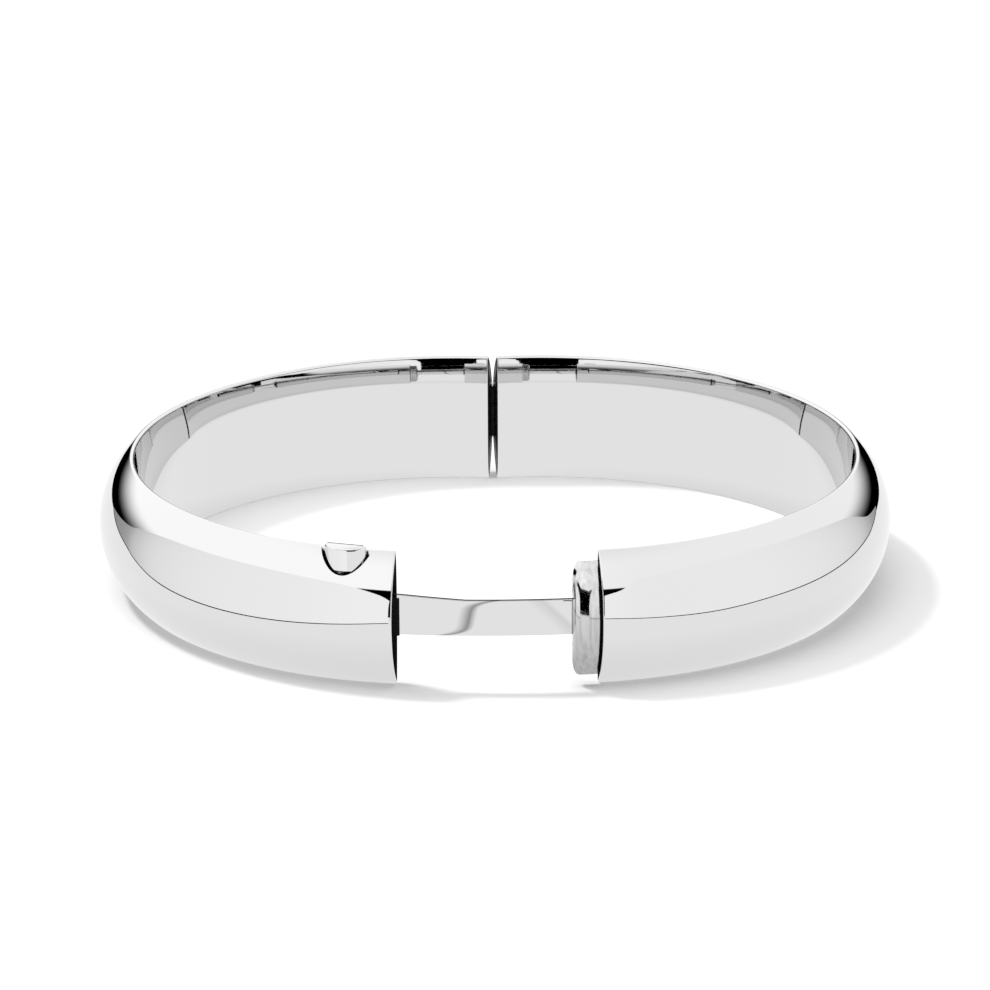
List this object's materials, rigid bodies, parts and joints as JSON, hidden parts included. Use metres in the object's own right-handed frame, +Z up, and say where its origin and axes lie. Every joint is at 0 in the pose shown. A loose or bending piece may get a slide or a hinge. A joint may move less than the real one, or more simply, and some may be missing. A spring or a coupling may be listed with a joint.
{
  "type": "bangle bracelet",
  "caption": "Hollow polished oval bangle bracelet, hinged at the back, held part open by a sliding curved tongue, with a push-button box clasp.",
  "frame": {"origin": "centre of the footprint of the part-open bangle, on the plane that its lower rims rest on", "axes": "+Z up along the height of the band, +Y to the hinge at the back, -Y to the front gap and clasp, +X to the half with the plug"},
  "size_m": [0.0712, 0.0652, 0.0125],
  "materials": {
    "polished_shell": "mirror-polished white metal",
    "polished_liner": "mirror-polished white metal",
    "polished_button": "mirror-polished white metal",
    "polished_tongue": "mirror-polished strip",
    "fittings": "fine-filed white metal",
    "pin_steel": "drawn wire",
    "spring_steel": "tempered spring sheet and wire"
  },
  "bodies": {
    "left_half": {"left_shell": "polished_shell", "left_liner": "polished_liner", "left_hinge_block": "fittings", "left_knuckles": "fittings", "hinge_pin": "pin_steel", "tongue_guide": "fittings", "spring_seat": "fittings", "button_spring": "spring_steel"},
    "button": {"push_button": "polished_button", "button_stem": "fittings", "catch_hook": "spring_steel", "catch_guide_pin": "pin_steel"},
    "right_half": {"right_shell": "polished_shell", "right_liner": "polished_liner", "right_hinge_block": "fittings", "right_knuckle": "fittings", "clasp_plug": "polished_shell", "plug_back_plate": "fittings"},
    "tongue": {"tongue": "polished_tongue"}
  },
  "joints": [
    {"name": "main_hinge", "type": "hinge", "parent": "left_half", "child": "right_half", "pos_m": [0, 0.03147, 0], "axis": [0, 0, 1], "range_deg": [-16, 0]},
    {"name": "tongue_slide", "type": "hinge", "parent": "left_half", "child": "tongue", "pos_m": [0, 0.03147, 0], "axis": [0, 0, 1], "range_deg": [-5.76, 0]},
    {"name": "button_press", "type": "slide", "parent": "left_half", "child": "button", "axis": [0, 0, -1], "range_m": [0, 0.0005], "stiffness_N_per_m": 1000, "deforming": ["button_spring"]}
  ],
  "couplings": [
    {"joint": "tongue_slide", "follows": "main_hinge", "ratio": 0.36}
  ]
}
